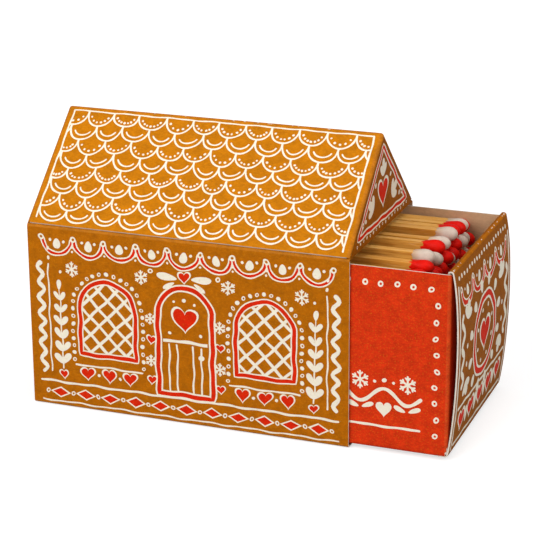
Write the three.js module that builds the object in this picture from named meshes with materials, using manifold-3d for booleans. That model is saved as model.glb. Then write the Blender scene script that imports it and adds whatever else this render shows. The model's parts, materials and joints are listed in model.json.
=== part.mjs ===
// House-shaped card matchbox: a sleeve with a gabled roof glued on it, and a tray of long safety matches
// that slides through the sleeve. Millimetres, +Z up, X along the sleeve, the tray pulled out towards +X.
import * as THREE from "three";
import { mergeVertices } from "three/addons/utils/BufferGeometryUtils.js";
import Module from "manifold-3d";

const wasm = await Module();
wasm.setup();

// Card
const cardThickness = 0.5;
const foldRadius = 0.8; // of the card's middle line
const endFoldRadius = 0.56; // of the end panels' folds, which are tighter
const foldSteps = 4;

// Matches
const stickSide = 2.6;
const matchLength = 94;
const headLength = 7.5;
const headRadius = 2.1;
const headNeckRadius = 1.7;
const headSides = 10;
const headGap = 0.2; // the least between two heads
const pileTopGap = 0.9; // of the highest heads below the sleeve's ceiling
const topTipGap = 8.9; // from the tips of the top layer to the tucked flap
const secondTipGap = 7.4;
const bundleTipGap = 6;
const bundleFloorGap = 0.2;
const bundleHeadRows = 3;
const bundleTopGap = 0.4; // below the nested place of its top row
const bundleHeadSink = 0.2; // how deep its heads sit in its front face

// Sleeve and roof
const matchEndRoom = 16; // how much longer the sleeve and the tray are than a match
const sleeveLength = matchLength + matchEndRoom;
const sleeveWidth = 67;
const sleeveHeight = 62.5;
const glueFlapWidth = 14;
const glueFlapEndGap = 1.5;
const roofRise = 31.6;
const gableFlapDepth = 12;
const gableFlapSideGap = 3;

// Tray
const trayPulledOut = 31.8;
const traySideClearance = 0.4;
const trayFloorClearance = 0.15;
const trayTopClearance = 0.3;
const endFoldRise = 1.1; // how far the end panel's fold stands above the side walls
const endTabWidth = 20;
const endTabTopGap = 0.15; // between the tabs' upper edge and the side walls' upper edge
const endPanelInset = 0.3; // of the end panel's cut edges from the tray's sides
const endFoldWidth = 1.35; // along X, over the tabs
const endTuckGap = 0.2; // between the tabs and the tucked flap
const endTuckLength = 44;
const endTuckSideGap = 0.3;
const frontBulge = 2.8; // the front panel springs outwards
const rearBulge = 0.7; // the rear panel is held flatter inside the sleeve
const bulgeSteps = 8;

// The two upper layers, from the near wall to the far one: the kind of head, and how far the match lies below
// the highest one of its layer and behind the others. The second layer nests below the first. A wider tray holds
// more matches in a layer, and its list then starts again.
const topLayer = [
  ["red", 6.0, 0.6], ["pale", 5.2, -0.5], ["red", 4.2, 0.4], ["red", 2.4, 0.0], ["pale", 0.5, 1.0],
  ["pale", 2.6, -0.4], ["red", 0.1, 0.2], ["pale", 0.3, -0.2], ["red", 2.2, 0.9], ["pale", 0.0, 0.0],
  ["red", 0.4, 0.4], ["red", 0.6, -0.3], ["pale", 1.0, 0.1], ["red", 2.6, 0.8],
];
const secondLayer = [
  ["pale", 0, 0.3], ["red", 0, -0.4], ["red", 0, 0.5], ["red", 0, -0.2], ["red", 0, 0.6],
  ["red", 0, 0.1], ["red", 0, -0.5], ["pale", 0, 0.3], ["red", 0, 0.0], ["red", 0, 0.5],
  ["pale", 0, -0.3], ["pale", 0, 0.4], ["red", 0, -0.1],
];

// Materials
const cardBrown = new THREE.MeshStandardMaterial({ color: 0xab6820, roughness: 0.72, metalness: 0 });
const roofBrown = new THREE.MeshStandardMaterial({ color: 0xc67a22, roughness: 0.72, metalness: 0 });
const cardRed = new THREE.MeshStandardMaterial({ color: 0xd03c20, roughness: 0.7, metalness: 0 });
const splintWood = new THREE.MeshStandardMaterial({ color: 0xc08a3c, roughness: 0.65, metalness: 0 });
const headRed = new THREE.MeshStandardMaterial({ color: 0xd81f12, roughness: 0.45, metalness: 0 });
const headPale = new THREE.MeshStandardMaterial({ color: 0xd9c6b8, roughness: 0.6, metalness: 0 });

// Values that follow from the sizes above. The sleeve's rear end is at x = 0 here.
const halfCard = cardThickness / 2;
const sleeveInnerTop = sleeveHeight - cardThickness;
const sleeveInnerFloor = cardThickness * 2; // the card and its glue flap
const trayNearY = cardThickness + traySideClearance;
const trayFarY = sleeveWidth - trayNearY;
const trayBottom = sleeveInnerFloor + trayFloorClearance;
const trayFoldTop = sleeveInnerTop - trayTopClearance;
const trayRim = trayFoldTop - endFoldRise;
const trayRearX = trayPulledOut;
const trayFrontX = trayPulledOut + sleeveLength;
const trayInnerNearY = trayNearY + cardThickness;
const trayInnerFarY = trayFarY - cardThickness;
const tuckReach = cardThickness * 2 + endTuckGap; // from the end plane to the tucked flap's inner face
const frontInnerX = trayFrontX - tuckReach;

// Axes for a profile: the drawing's x and y, then the way it is extruded.
const alongX = new THREE.Matrix4().makeBasis(
  new THREE.Vector3(0, 1, 0), new THREE.Vector3(0, 0, 1), new THREE.Vector3(1, 0, 0));
const alongY = new THREE.Matrix4().makeBasis(
  new THREE.Vector3(1, 0, 0), new THREE.Vector3(0, 0, 1), new THREE.Vector3(0, -1, 0));
const alongZ = new THREE.Matrix4();

function solidOf(geometry) {
  const plain = geometry.clone();
  for (const name of Object.keys(plain.attributes)) {
    if (name !== "position") plain.deleteAttribute(name);
  }
  const merged = mergeVertices(plain, 1e-4);
  const indices = merged.index ? merged.index.array : merged.toNonIndexed().index.array;
  return new wasm.Manifold(new wasm.Mesh({
    numProp: 3,
    vertProperties: new Float32Array(merged.attributes.position.array),
    triVerts: new Uint32Array(indices),
  }));
}

function geometryOf(solid) {
  const mesh = solid.getMesh();
  const geometry = new THREE.BufferGeometry();
  geometry.setAttribute("position", new THREE.BufferAttribute(new Float32Array(mesh.vertProperties), 3));
  geometry.setIndex(new THREE.BufferAttribute(new Uint32Array(mesh.triVerts), 1));
  const faceted = geometry.toNonIndexed();
  faceted.computeVertexNormals();
  return faceted;
}

// A box from its lowest to its highest corner.
function block(low, high) {
  const size = new THREE.Vector3().subVectors(high, low);
  const centre = new THREE.Vector3().addVectors(low, high).multiplyScalar(0.5);
  return new THREE.BoxGeometry(size.x, size.y, size.z).translate(centre.x, centre.y, centre.z);
}

function blockSolid(x0, y0, z0, x1, y1, z1) {
  return solidOf(block(new THREE.Vector3(x0, y0, z0), new THREE.Vector3(x1, y1, z1)));
}

// Rounds the corners of a path with arcs, and keeps its ends.
function roundedPath(points, radius) {
  const out = [points[0].clone()];
  for (let i = 1; i < points.length - 1; i++) {
    const before = new THREE.Vector2().subVectors(points[i - 1], points[i]).normalize();
    const after = new THREE.Vector2().subVectors(points[i + 1], points[i]).normalize();
    const halfAngle = Math.acos(THREE.MathUtils.clamp(before.dot(after), -1, 1)) / 2;
    const straight = Math.PI / 2 - halfAngle < 0.12;
    if (straight) {
      out.push(points[i].clone());
      continue;
    }
    const back = radius / Math.tan(halfAngle);
    const start = points[i].clone().addScaledVector(before, back);
    const end = points[i].clone().addScaledVector(after, back);
    const bisector = new THREE.Vector2().addVectors(before, after).normalize();
    const centre = points[i].clone().addScaledVector(bisector, radius / Math.sin(halfAngle));
    const from = Math.atan2(start.y - centre.y, start.x - centre.x);
    let sweep = Math.atan2(end.y - centre.y, end.x - centre.x) - from;
    if (sweep > Math.PI) sweep -= 2 * Math.PI;
    if (sweep < -Math.PI) sweep += 2 * Math.PI;
    for (let k = 0; k <= foldSteps; k++) {
      const angle = from + (sweep * k) / foldSteps;
      out.push(new THREE.Vector2(centre.x + radius * Math.cos(angle), centre.y + radius * Math.sin(angle)));
    }
  }
  out.push(points[points.length - 1].clone());
  return out;
}

// The closed outline of a card folded along a path, cut square at both ends.
function sheetOutline(points, radius = foldRadius) {
  const path = roundedPath(points, radius);
  const left = [];
  const right = [];
  for (let i = 0; i < path.length; i++) {
    const before = i > 0 ? new THREE.Vector2().subVectors(path[i], path[i - 1]).normalize() : null;
    const after = i < path.length - 1 ? new THREE.Vector2().subVectors(path[i + 1], path[i]).normalize() : null;
    const along = new THREE.Vector2().add(before ?? after).add(after ?? before).normalize();
    const cosHalf = before && after ? Math.sqrt((1 + before.dot(after)) / 2) : 1;
    const normal = new THREE.Vector2(-along.y, along.x).multiplyScalar(halfCard / cosHalf);
    left.push(path[i].clone().add(normal));
    right.push(path[i].clone().sub(normal));
  }
  return [...right, ...left.reverse()];
}

// Extrudes a closed outline along one axis, from one place on that axis to another.
function extruded(outline, axes, from, to, holes = []) {
  const shape = new THREE.Shape(outline);
  shape.holes = holes.map((hole) => new THREE.Path(hole));
  const geometry = new THREE.ExtrudeGeometry(shape, { depth: to - from, bevelEnabled: false });
  return geometry.translate(0, 0, from).applyMatrix4(axes);
}

function vectors(pairs) {
  return pairs.map(([x, y]) => new THREE.Vector2(x, y));
}

// A closed loop with round corners, as the sleeve's inner and outer faces are.
function roundedLoop(x0, y0, x1, y1, radius) {
  const middle = (x0 + x1) / 2;
  const corners = vectors([[middle, y0], [x1, y0], [x1, y1], [x0, y1], [x0, y0], [middle, y0]]);
  return roundedPath(corners, radius).slice(0, -1);
}

// The sleeve: one card wrapped round, with its glue flap lying inside on the floor.
function sleeveSolid() {
  const outer = roundedLoop(0, 0, sleeveWidth, sleeveHeight, foldRadius + halfCard);
  const inner = roundedLoop(
    cardThickness, cardThickness, sleeveWidth - cardThickness, sleeveInnerTop, foldRadius - halfCard);
  const wrap = solidOf(extruded(outer, alongX, 0, sleeveLength, [inner]));
  const flapFarY = sleeveWidth - halfCard;
  const flap = blockSolid(
    glueFlapEndGap, flapFarY - glueFlapWidth, halfCard,
    sleeveLength - glueFlapEndGap, flapFarY, sleeveInnerFloor);
  return wrap.add(flap);
}

// The roof: two slopes with square-cut eaves, gables folded down at both ends, and a flap under each gable.
function roofSolid() {
  const slopeAngle = Math.atan2(roofRise, sleeveWidth / 2);
  const normalIn = new THREE.Vector2(Math.sin(slopeAngle), -Math.cos(slopeAngle)).multiplyScalar(halfCard);
  // The inner corner of each cut edge stands on the sleeve, so the middle line starts half a card above it.
  const eaveLift = halfCard * Math.cos(slopeAngle);
  const eaveIn = halfCard * Math.sin(slopeAngle);
  const ridgeDrop = halfCard / Math.cos(slopeAngle);
  const nearEave = new THREE.Vector2(eaveIn, sleeveHeight + eaveLift);
  const farEave = new THREE.Vector2(sleeveWidth - eaveIn, sleeveHeight + eaveLift);
  const ridge = new THREE.Vector2(sleeveWidth / 2, sleeveHeight + roofRise - ridgeDrop);
  const slopes = solidOf(extruded(sheetOutline([nearEave, ridge, farEave]), alongX, 0, sleeveLength));

  const gableOutline = [
    nearEave.clone().add(normalIn), farEave.clone().add(new THREE.Vector2(-normalIn.x, normalIn.y)), ridge];
  const gable = (x) => solidOf(extruded(gableOutline, alongX, x, x + cardThickness));
  const flap = (x) => blockSolid(
    x, gableFlapSideGap, sleeveHeight, x + gableFlapDepth, sleeveWidth - gableFlapSideGap,
    sleeveHeight + cardThickness);
  return slopes
    .add(gable(0))
    .add(gable(sleeveLength - cardThickness))
    .add(flap(0))
    .add(flap(sleeveLength - gableFlapDepth));
}

// One end of the tray: the panel rises from the floor, bows out, folds over the tabs and tucks down inside.
// outwards is 1 at the front and -1 at the rear.
function trayEnd(endX, outwards, bulge) {
  const floorZ = trayBottom + halfCard;
  const foldZ = trayFoldTop - halfCard;
  const place = (out, z) => new THREE.Vector2(endX + outwards * out, z);
  const tuckX = -(cardThickness + endTuckGap + halfCard);
  const bow = new THREE.CubicBezierCurve(
    place(-halfCard, floorZ),
    place(bulge * 0.9, floorZ + (foldZ - floorZ) * 0.22),
    place(bulge * 1.35, floorZ + (foldZ - floorZ) * 0.78),
    place(tuckX + endFoldWidth, foldZ));
  const path = [
    place(-foldRadius * 4, floorZ),
    ...bow.getPoints(bulgeSteps),
    place(tuckX, foldZ),
    place(tuckX, foldZ - endTuckLength),
  ];
  const outline = sheetOutline(path, endFoldRadius);
  const panel = solidOf(extruded(outline, alongY, -(trayFarY - endPanelInset), -(trayNearY + endPanelInset)));
  // Below the rim the tucked flap is narrower than the panel, so that it passes between the side walls.
  const cutFrom = Math.min(endX - outwards * 0.05, endX - outwards * tuckReach * 2);
  const cutTo = Math.max(endX - outwards * 0.05, endX - outwards * tuckReach * 2);
  const cutTop = trayRim + endTabTopGap;
  const cutFloor = floorZ + foldRadius + cardThickness;
  const nearCut = blockSolid(
    cutFrom, trayNearY - 1, cutFloor, cutTo, trayInnerNearY + endTuckSideGap, cutTop);
  const farCut = blockSolid(
    cutFrom, trayInnerFarY - endTuckSideGap, cutFloor, cutTo, trayFarY + 1, cutTop);
  return panel.subtract(nearCut).subtract(farCut);
}

// A side wall with a tab folded in at each end. side is 1 for the near wall and -1 for the far wall.
function traySide(wallY, side) {
  const path = vectors([
    [trayFrontX - halfCard, wallY + side * endTabWidth],
    [trayFrontX - halfCard, wallY + side * halfCard],
    [trayRearX + halfCard, wallY + side * halfCard],
    [trayRearX + halfCard, wallY + side * endTabWidth],
  ]);
  const bottom = trayBottom + halfCard + foldRadius;
  return solidOf(extruded(sheetOutline(path), alongZ, bottom, trayRim));
}

// The tray: one folded card.
function traySolid() {
  const floorZ = trayBottom + halfCard;
  const wallFoot = floorZ + foldRadius * 2;
  const floorPath = vectors([
    [trayNearY + halfCard, wallFoot],
    [trayNearY + halfCard, floorZ],
    [trayFarY - halfCard, floorZ],
    [trayFarY - halfCard, wallFoot],
  ]);
  const floor = solidOf(
    extruded(sheetOutline(floorPath), alongX, trayRearX + foldRadius, trayFrontX - foldRadius));
  return floor
    .add(traySide(trayNearY, 1))
    .add(traySide(trayFarY, -1))
    .add(trayEnd(trayFrontX, 1, frontBulge))
    .add(trayEnd(trayRearX, -1, rearBulge));
}

// Small differences between matches that repeat only slowly.
function unevenness(index, step) {
  return Math.sin(index * step + step * step);
}

// As many matches side by side as the tray has room for, spread evenly.
const pileWidth = trayInnerFarY - trayInnerNearY - headGap;
const columns = Math.floor(pileWidth / (headRadius * 2 + headGap));
const columnPitch = pileWidth / columns;
const crestZ = sleeveInnerTop - pileTopGap - headRadius;
const nestDrop = Math.sqrt((headRadius * 2 + headGap) ** 2 - (columnPitch / 2) ** 2);

// The middle of each head of the top layer, across the tray.
function topRow() {
  return Array.from({ length: columns }, (_, i) => ({
    y: trayInnerNearY + headGap / 2 + (i + 0.5) * columnPitch,
    z: crestZ - topLayer[i % topLayer.length][1],
  }));
}

// A layer nested between the heads of the one above it.
function nestedRow(row, gap = 0) {
  return row.slice(0, -1).map((head, i) => ({
    y: (head.y + row[i + 1].y) / 2,
    z: Math.min(head.z, row[i + 1].z) - nestDrop - gap,
  }));
}

// The dipped head, along +X from its neck to its tip.
function headGeometry() {
  const profile = vectors([
    [0, 0], [headNeckRadius, 0], [headRadius * 0.94, headLength * 0.2], [headRadius, headLength * 0.45],
    [headRadius * 0.93, headLength * 0.7], [headRadius * 0.66, headLength * 0.9], [0, headLength]]);
  return new THREE.LatheGeometry(profile, headSides).rotateZ(-Math.PI / 2);
}

function named(mesh, name) {
  mesh.name = name;
  return mesh;
}

// One match: a square splint and the head dipped on its end, both turned about the head's middle.
function addMatch(pile, name, tipX, head, turn, roll, headMaterial) {
  const group = new THREE.Group();
  group.position.set(tipX - headLength, head.y, head.z);
  group.rotation.set(roll, 0, turn);
  const splintLength = matchLength - headLength;
  const splint = block(
    new THREE.Vector3(-splintLength, -stickSide / 2, -stickSide / 2),
    new THREE.Vector3(0, stickSide / 2, stickSide / 2));
  group.add(named(new THREE.Mesh(splint, splintWood), `${name}_splint`));
  group.add(named(new THREE.Mesh(headGeometry(), headMaterial), `${name}_head`));
  pile.add(group);
}

function addLayer(pile, layer, matches, row, tipGap) {
  const mostTurn = (columnPitch - stickSide * Math.SQRT2 * 0.9) / 2 / (matchLength * 1.6);
  const mostRoll = 0.12;
  const heads = { red: headRed, pale: headPale };
  row.forEach((head, i) => {
    const [kind, , setBack] = matches[i % matches.length];
    const number = String(i + 1).padStart(2, "0");
    const tipX = frontInnerX - tipGap - setBack;
    const turn = mostTurn * unevenness(i, 1.7 + layer);
    const roll = mostRoll * unevenness(i, 3.1 + layer);
    addMatch(pile, `match_${layer}_${number}`, tipX, head, turn, roll, heads[kind]);
  });
}

// The matches below the two loose layers, as one bundle with a ridge for each stick of its top layer.
function bundleOutline(row, bottom) {
  const half = stickSide / 2;
  const valley = columnPitch * 0.3;
  const top = row.flatMap((head) => vectors([
    [head.y - half, head.z - valley], [head.y - half, head.z + half],
    [head.y + half, head.z + half], [head.y + half, head.z - valley]]));
  const nearY = row[0].y - half;
  const farY = row[row.length - 1].y + half;
  return [...vectors([[nearY, bottom], [farY, bottom]]), ...top.reverse()];
}

// The heads that can be seen between those above them stand on the bundle's front face.
function bundleSolid(row, neckX) {
  const floor = trayBottom + cardThickness + bundleFloorGap;
  const rear = neckX - (matchLength - headLength);
  let bundle = solidOf(extruded(bundleOutline(row, floor), alongX, rear, neckX));
  let current = row;
  for (let layer = 0; layer < bundleHeadRows; layer++) {
    for (const head of current) {
      bundle = bundle.add(solidOf(headGeometry().translate(neckX - bundleHeadSink, head.y, head.z)));
    }
    current = nestedRow(current);
  }
  return bundle;
}

const house = new THREE.Group();
house.add(named(new THREE.Mesh(geometryOf(sleeveSolid()), cardBrown), "sleeve"));
house.add(named(new THREE.Mesh(geometryOf(roofSolid()), roofBrown), "roof"));
house.add(named(new THREE.Mesh(geometryOf(traySolid()), cardRed), "tray"));

const topHeads = topRow();
const secondHeads = nestedRow(topHeads);
const bundleRow = nestedRow(secondHeads, bundleTopGap);
addLayer(house, 1, topLayer, topHeads, topTipGap);
addLayer(house, 2, secondLayer, secondHeads, secondTipGap);

const bundleNeckX = frontInnerX - bundleTipGap - headLength;
house.add(named(new THREE.Mesh(geometryOf(bundleSolid(bundleRow, bundleNeckX)), splintWood), "match_bundle"));

// The origin is below the middle of the whole box as it stands, with its tray out.
const middle = new THREE.Box3().setFromObject(house).getCenter(new THREE.Vector3());
house.position.set(-middle.x, -middle.y, 0);

export default house;
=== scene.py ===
import json
import math
import random

import bpy
import numpy as np
from mathutils import Matrix, Vector, geometry


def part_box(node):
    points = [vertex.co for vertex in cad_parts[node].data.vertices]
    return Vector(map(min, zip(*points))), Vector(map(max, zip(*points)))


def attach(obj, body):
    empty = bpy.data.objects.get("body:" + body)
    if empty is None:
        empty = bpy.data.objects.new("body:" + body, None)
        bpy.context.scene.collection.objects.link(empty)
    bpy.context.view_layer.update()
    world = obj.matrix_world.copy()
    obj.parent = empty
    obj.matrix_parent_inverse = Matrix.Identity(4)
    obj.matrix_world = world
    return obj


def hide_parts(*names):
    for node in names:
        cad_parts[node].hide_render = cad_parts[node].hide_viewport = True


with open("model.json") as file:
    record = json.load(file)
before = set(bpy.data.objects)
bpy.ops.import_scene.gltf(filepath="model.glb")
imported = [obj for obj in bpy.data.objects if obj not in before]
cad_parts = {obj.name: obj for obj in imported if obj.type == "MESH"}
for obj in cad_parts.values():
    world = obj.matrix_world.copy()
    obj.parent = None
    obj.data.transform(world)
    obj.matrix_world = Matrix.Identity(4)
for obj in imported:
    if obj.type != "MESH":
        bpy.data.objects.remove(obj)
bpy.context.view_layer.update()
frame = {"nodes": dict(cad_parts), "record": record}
sleeveLow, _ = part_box("sleeve")
print("frame loaded")

# Every length below is in millimetres, from the sleeve's rear end, its near wall and the floor.
millimetre = 0.001

card = {
    "thickness": 0.5,
    "foldRadius": 0.8,
    "foldSteps": 8,
    "softTurn": 0.24,
}

sleeve = {
    "length": 110.0,
    "width": 67.0,
    "height": 62.5,
    "glueFlapWidth": 14.0,
    "glueFlapEndGap": 1.5,
    "glueFlapRadius": 0.5,
    "strikerEndGap": 4,
    "strikerFoldGap": 12,
    "strikerSeamGap": 7,
}

tiny = 1e-3
half = card["thickness"] / 2
random.seed(7)


def place(points):
    points = np.asarray(points, float) * millimetre
    return points + np.array([sleeveLow[0], sleeveLow[1], 0.0])


def linear(colour):
    return tuple(
        value / 12.92 if value <= 0.04045 else ((value + 0.055) / 1.055) ** 2.4
        for value in (channel / 255 for channel in colour)
    ) + (1.0,)


# Camera

# The focal length is in pixels of the frame. The place and tilt are taken round the sleeve's near right corner.
view = {
    "frame": 533,
    "focal": 1891.484,
    "azimuth": 20.93323,
    "elevation": 17.07878,
    "roll": -0.3679,
    "distance": 593.0947,
    "right": -25.6124,
    "up": 73.5988,
    "riseOfCentre": 53,
}


def makeCamera():
    azimuth, elevation, roll = (math.radians(view[key]) for key in ("azimuth", "elevation", "roll"))
    back = Vector((
        math.sin(azimuth) * math.cos(elevation),
        -math.cos(azimuth) * math.cos(elevation),
        math.sin(elevation)))
    level = Vector((math.cos(azimuth), math.sin(azimuth), 0))
    upright = back.cross(level)
    right = level * math.cos(roll) + upright * math.sin(roll)
    up = upright * math.cos(roll) - level * math.sin(roll)
    corner = Vector(place([[sleeve["length"], 0, 0]])[0])
    spot = back * view["distance"] + right * view["right"] + up * view["up"]
    data = bpy.data.cameras.new("camera")
    data.sensor_width = 36
    data.lens = view["focal"] / view["frame"] * data.sensor_width
    data.shift_y = -view["riseOfCentre"] / view["frame"]
    data.clip_start = 0.01
    data.clip_end = 20
    camera = bpy.data.objects.new("camera", data)
    camera.matrix_world = Matrix.Translation(corner + spot * millimetre) @ Matrix(
        [[right[i], up[i], back[i], 0] for i in range(3)] + [[0, 0, 0, 1]])
    bpy.context.scene.collection.objects.link(camera)
    bpy.context.scene.camera = camera


makeCamera()
print("camera placed")


# Shader nodes

class Tree:
    def __init__(self, tree):
        self.nodes, self.links = tree.nodes, tree.links

    def new(self, kind, **values):
        node = self.nodes.new(kind)
        for name, value in values.items():
            self.put(node.inputs[name.replace("_", " ")], value)
        return node

    def put(self, socket, value):
        if isinstance(value, bpy.types.NodeSocket):
            self.links.new(value, socket)
        else:
            socket.default_value = value

    # size holds the scale, the detail and the roughness.
    def noise(self, vector, size):
        node = self.new("ShaderNodeTexNoise", Vector=vector, Scale=size[0], Detail=size[1], Roughness=size[2])
        return node.outputs["Fac"]

    def spread(self, value, low, high, toLow=0.0, toHigh=1.0):
        node = self.new("ShaderNodeMapRange", Value=value, From_Min=low, From_Max=high, To_Min=toLow, To_Max=toHigh)
        return node.outputs["Result"]

    def math(self, kind, first, second):
        node = self.nodes.new("ShaderNodeMath")
        node.operation = kind
        self.put(node.inputs[0], first)
        self.put(node.inputs[1], second)
        return node.outputs[0]

    def sum(self, first, share, second, otherShare):
        return self.math("ADD", self.math("MULTIPLY", first, share), self.math("MULTIPLY", second, otherShare))

    def mix(self, factor, first, second):
        node = self.nodes.new("ShaderNodeMix")
        node.data_type = "RGBA"
        self.put(node.inputs[0], factor)
        for name, value in (("A", first), ("B", second)):
            self.put(next(s for s in node.inputs if s.name == name and s.type == "RGBA"), value)
        return next(s for s in node.outputs if s.type == "RGBA")

    def stretch(self, vector, scale, turn=(0, 0, 0)):
        return self.new("ShaderNodeMapping", Vector=vector, Scale=scale, Rotation=turn).outputs["Vector"]


def newGroup(name, outputs, tinted=False):
    group = bpy.data.node_groups.new(name, "ShaderNodeTree")
    group.interface.new_socket("Vector", in_out="INPUT", socket_type="NodeSocketVector")
    if tinted:
        group.interface.new_socket("Tint", in_out="INPUT", socket_type="NodeSocketFloat")
    for label in outputs:
        group.interface.new_socket(label, in_out="OUTPUT", socket_type="NodeSocketFloat")
    tree = Tree(group)
    given = tree.nodes.new("NodeGroupInput").outputs
    results = tree.nodes.new("NodeGroupOutput").inputs
    return group, tree, given, results


# Each noise is given by its scale per metre, its detail and its roughness.
stock = {
    "cloud": (300, 4.0, 0.65),
    "grain": (2400, 2.0, 0.6),
    "fleck": (1900, 3.0, 0.65),
    "speck": (1900, 1.0, 0.5),
    "fibre": (800, 3.0, 0.65),
    "fibreStretch": (1.0, 3.2, 2.2),
    "fibreTurn": (0.4, 0.3, 0.5),
    "fleckRange": (0.57, 0.74),
    "speckRange": (0.66, 0.76),
    "specular": 0.06,
    "relief": 0.00012,
}


# Card stock: cloudy mottle, bright flecks, dark specks and the height of its fibres.
def makeStockGroup():
    group, tree, given, results = newGroup("cardStock", ("Mottle", "Fleck", "Speck", "Height"))
    vector = given["Vector"]
    cloud, grain, fleck, speck = (tree.noise(vector, stock[key]) for key in ("cloud", "grain", "fleck", "speck"))
    fibre = tree.noise(tree.stretch(vector, stock["fibreStretch"], stock["fibreTurn"]), stock["fibre"])
    mottle = tree.math("ADD", tree.spread(cloud, 0.36, 0.64, 0.0, 0.5), tree.spread(fibre, 0.34, 0.66, 0.0, 0.5))
    tree.put(results["Mottle"], mottle)
    tree.put(results["Fleck"], tree.spread(fleck, *stock["fleckRange"]))
    tree.put(results["Speck"], tree.spread(speck, *stock["speckRange"]))
    tree.put(results["Height"], tree.sum(fibre, 0.7, grain, 0.3))
    return group


splint = {
    "streak": (1400, 4.0, 0.6),
    "fine": (4200, 3.0, 0.6),
    "stain": (420, 3.0, 0.55),
    "tear": (2300, 3.0, 0.7),
    "lengthScale": 0.06,
    "specular": 0.14,
    "relief": 0.0002,
}


# Sawn splint wood: streaks along X, stains and torn fibres, other ones in each match by its tint.
def makeWoodGroup():
    group, tree, given, results = newGroup("splintWood", ("Streak", "Stain", "Tear", "Height"), True)
    tint = given["Tint"]
    shift = tree.new("ShaderNodeCombineXYZ", X=tree.math("MULTIPLY", tint, 3.7), Y=tree.math("MULTIPLY", tint, 1.9))
    moved = tree.nodes.new("ShaderNodeVectorMath")
    tree.put(moved.inputs[0], given["Vector"])
    tree.put(moved.inputs[1], shift.outputs["Vector"])
    along = tree.stretch(moved.outputs["Vector"], (splint["lengthScale"], 1.0, 1.0))
    streak, fine, stain, tear = (tree.noise(along, splint[key]) for key in ("streak", "fine", "stain", "tear"))
    tree.put(results["Streak"], tree.spread(streak, 0.32, 0.66))
    tree.put(results["Stain"], tree.spread(stain, 0.35, 0.68))
    tree.put(results["Tear"], tree.spread(tear, 0.60, 0.72))
    tree.put(results["Height"], tree.sum(streak, 0.6, fine, 0.4))
    return group


dip = {
    "cloud": (380, 3.0, 0.55),
    "grit": (2600, 2.0, 0.6),
    "gritShare": 0.16,
    "specular": 0.1,
    "relief": 0.0002,
}


# Dipped composition: slow unevenness of the coat and the fine grain of its filler.
def makeCoatGroup():
    group, tree, given, results = newGroup("dippedCoat", ("Cloud", "Grit", "Height"))
    cloud, grit = (tree.noise(given["Vector"], dip[key]) for key in ("cloud", "grit"))
    tree.put(results["Cloud"], tree.spread(cloud, 0.3, 0.7))
    tree.put(results["Grit"], tree.spread(grit, 0.35, 0.75))
    tree.put(results["Height"], tree.sum(cloud, 0.6, grit, 0.25))
    return group


stockGroup = makeStockGroup()
woodGroup = makeWoodGroup()
coatGroup = makeCoatGroup()


colours = {
    "wallPrint": (170, 95, 0),
    # The crease colours are the print made paler on the fold arcs: partly ink worn thin on the fold, partly painted
    # highlight.
    "wallCrease": (178, 106, 22),
    # The end colour is the wall print made darker for the gables and tray end panels, which face away from the key
    # lamp: painted shade.
    "endPrint": (146, 80, 4),
    "roofPrint": (184, 110, 3),
    "redPrint": (203, 49, 12),
    # Paler red on the tray sides' fold arcs: partly worn ink, partly painted highlight.
    "redCreaseWearAndHighlight": (203, 66, 26),
    "kraft": (200, 163, 126),
    "kraftFleck": (224, 150, 24),
    "rawEdge": (212, 202, 190),
    "creamInk": (230, 223, 205),
    "redInk": (206, 34, 4),
    # woodLight and woodDark colour a splint's top and bottom faces, and the side pair is the same wood made darker:
    # painted light on the top and bottom, painted shade on the sides.
    "woodLight": (240, 188, 100),
    "woodDark": (196, 128, 38),
    "woodSideShadedLight": (228, 168, 76),
    "woodSideShadedDark": (174, 106, 22),
    "woodPale": (246, 220, 172),
    "headRed": (216, 8, 0),
    "headPale": (206, 187, 172),
    "striker": (96, 48, 38),
    "woodStain": (226, 178, 104),
    "woodShade": (186, 114, 26),
    "woodThroughCoat": (196, 150, 96),
    "redGrit": (226, 60, 24),
    "paleGrit": (226, 216, 208),
}


# A material's nodes, with its shader's sockets and the place on the piece.
class Finish(Tree):
    def __init__(self, name, colour):
        self.material = bpy.data.materials.new(name)
        self.material.use_nodes = True
        self.material.diffuse_color = linear(colours[colour])
        super().__init__(self.material.node_tree)
        self.shader = self.nodes["Principled BSDF"].inputs
        self.where = self.nodes.new("ShaderNodeTexCoord").outputs["Object"]

    def group(self, group):
        node = self.nodes.new("ShaderNodeGroup")
        node.node_tree = group
        self.put(node.inputs["Vector"], self.where)
        return node

    def attribute(self, name):
        node = self.nodes.new("ShaderNodeAttribute")
        node.attribute_name = name
        return node.outputs["Fac"]

    def finish(self, body, rough, height, bump, look):
        self.put(self.shader["Base Color"], body)
        self.put(self.shader["Roughness"], rough)
        self.shader["Specular IOR Level"].default_value = look["specular"]
        relief = self.new("ShaderNodeBump", Strength=bump, Distance=look["relief"], Height=height)
        self.put(self.shader["Normal"], relief.outputs["Normal"])
        return self.material


def scaled(colour, share):
    return tuple(min(1.0, channel * share) for channel in colour[:3]) + (1.0,)


# A printed or bare card surface. show is how much the flecks and specks of the stock come through the ink.
def cardMaterial(name, show=0.5, depth=0.16, under="kraftFleck", rough=(0.55, 0.72), bump=0.35):
    ink = Finish(name, name)
    texture = ink.group(stockGroup).outputs
    base = linear(colours[name])
    ground = ink.mix(texture["Mottle"], scaled(base, 1 - depth), scaled(base, 1 + depth * 0.8))
    ground = ink.mix(ink.math("MULTIPLY", texture["Fleck"], show), ground, linear(colours[under]))
    ground = ink.mix(ink.math("MULTIPLY", texture["Speck"], show * 0.6), ground, scaled(base, 0.45))
    height = texture["Height"]
    return ink.finish(ground, ink.spread(height, 0.3, 0.7, *rough), height, bump, stock)
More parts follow.
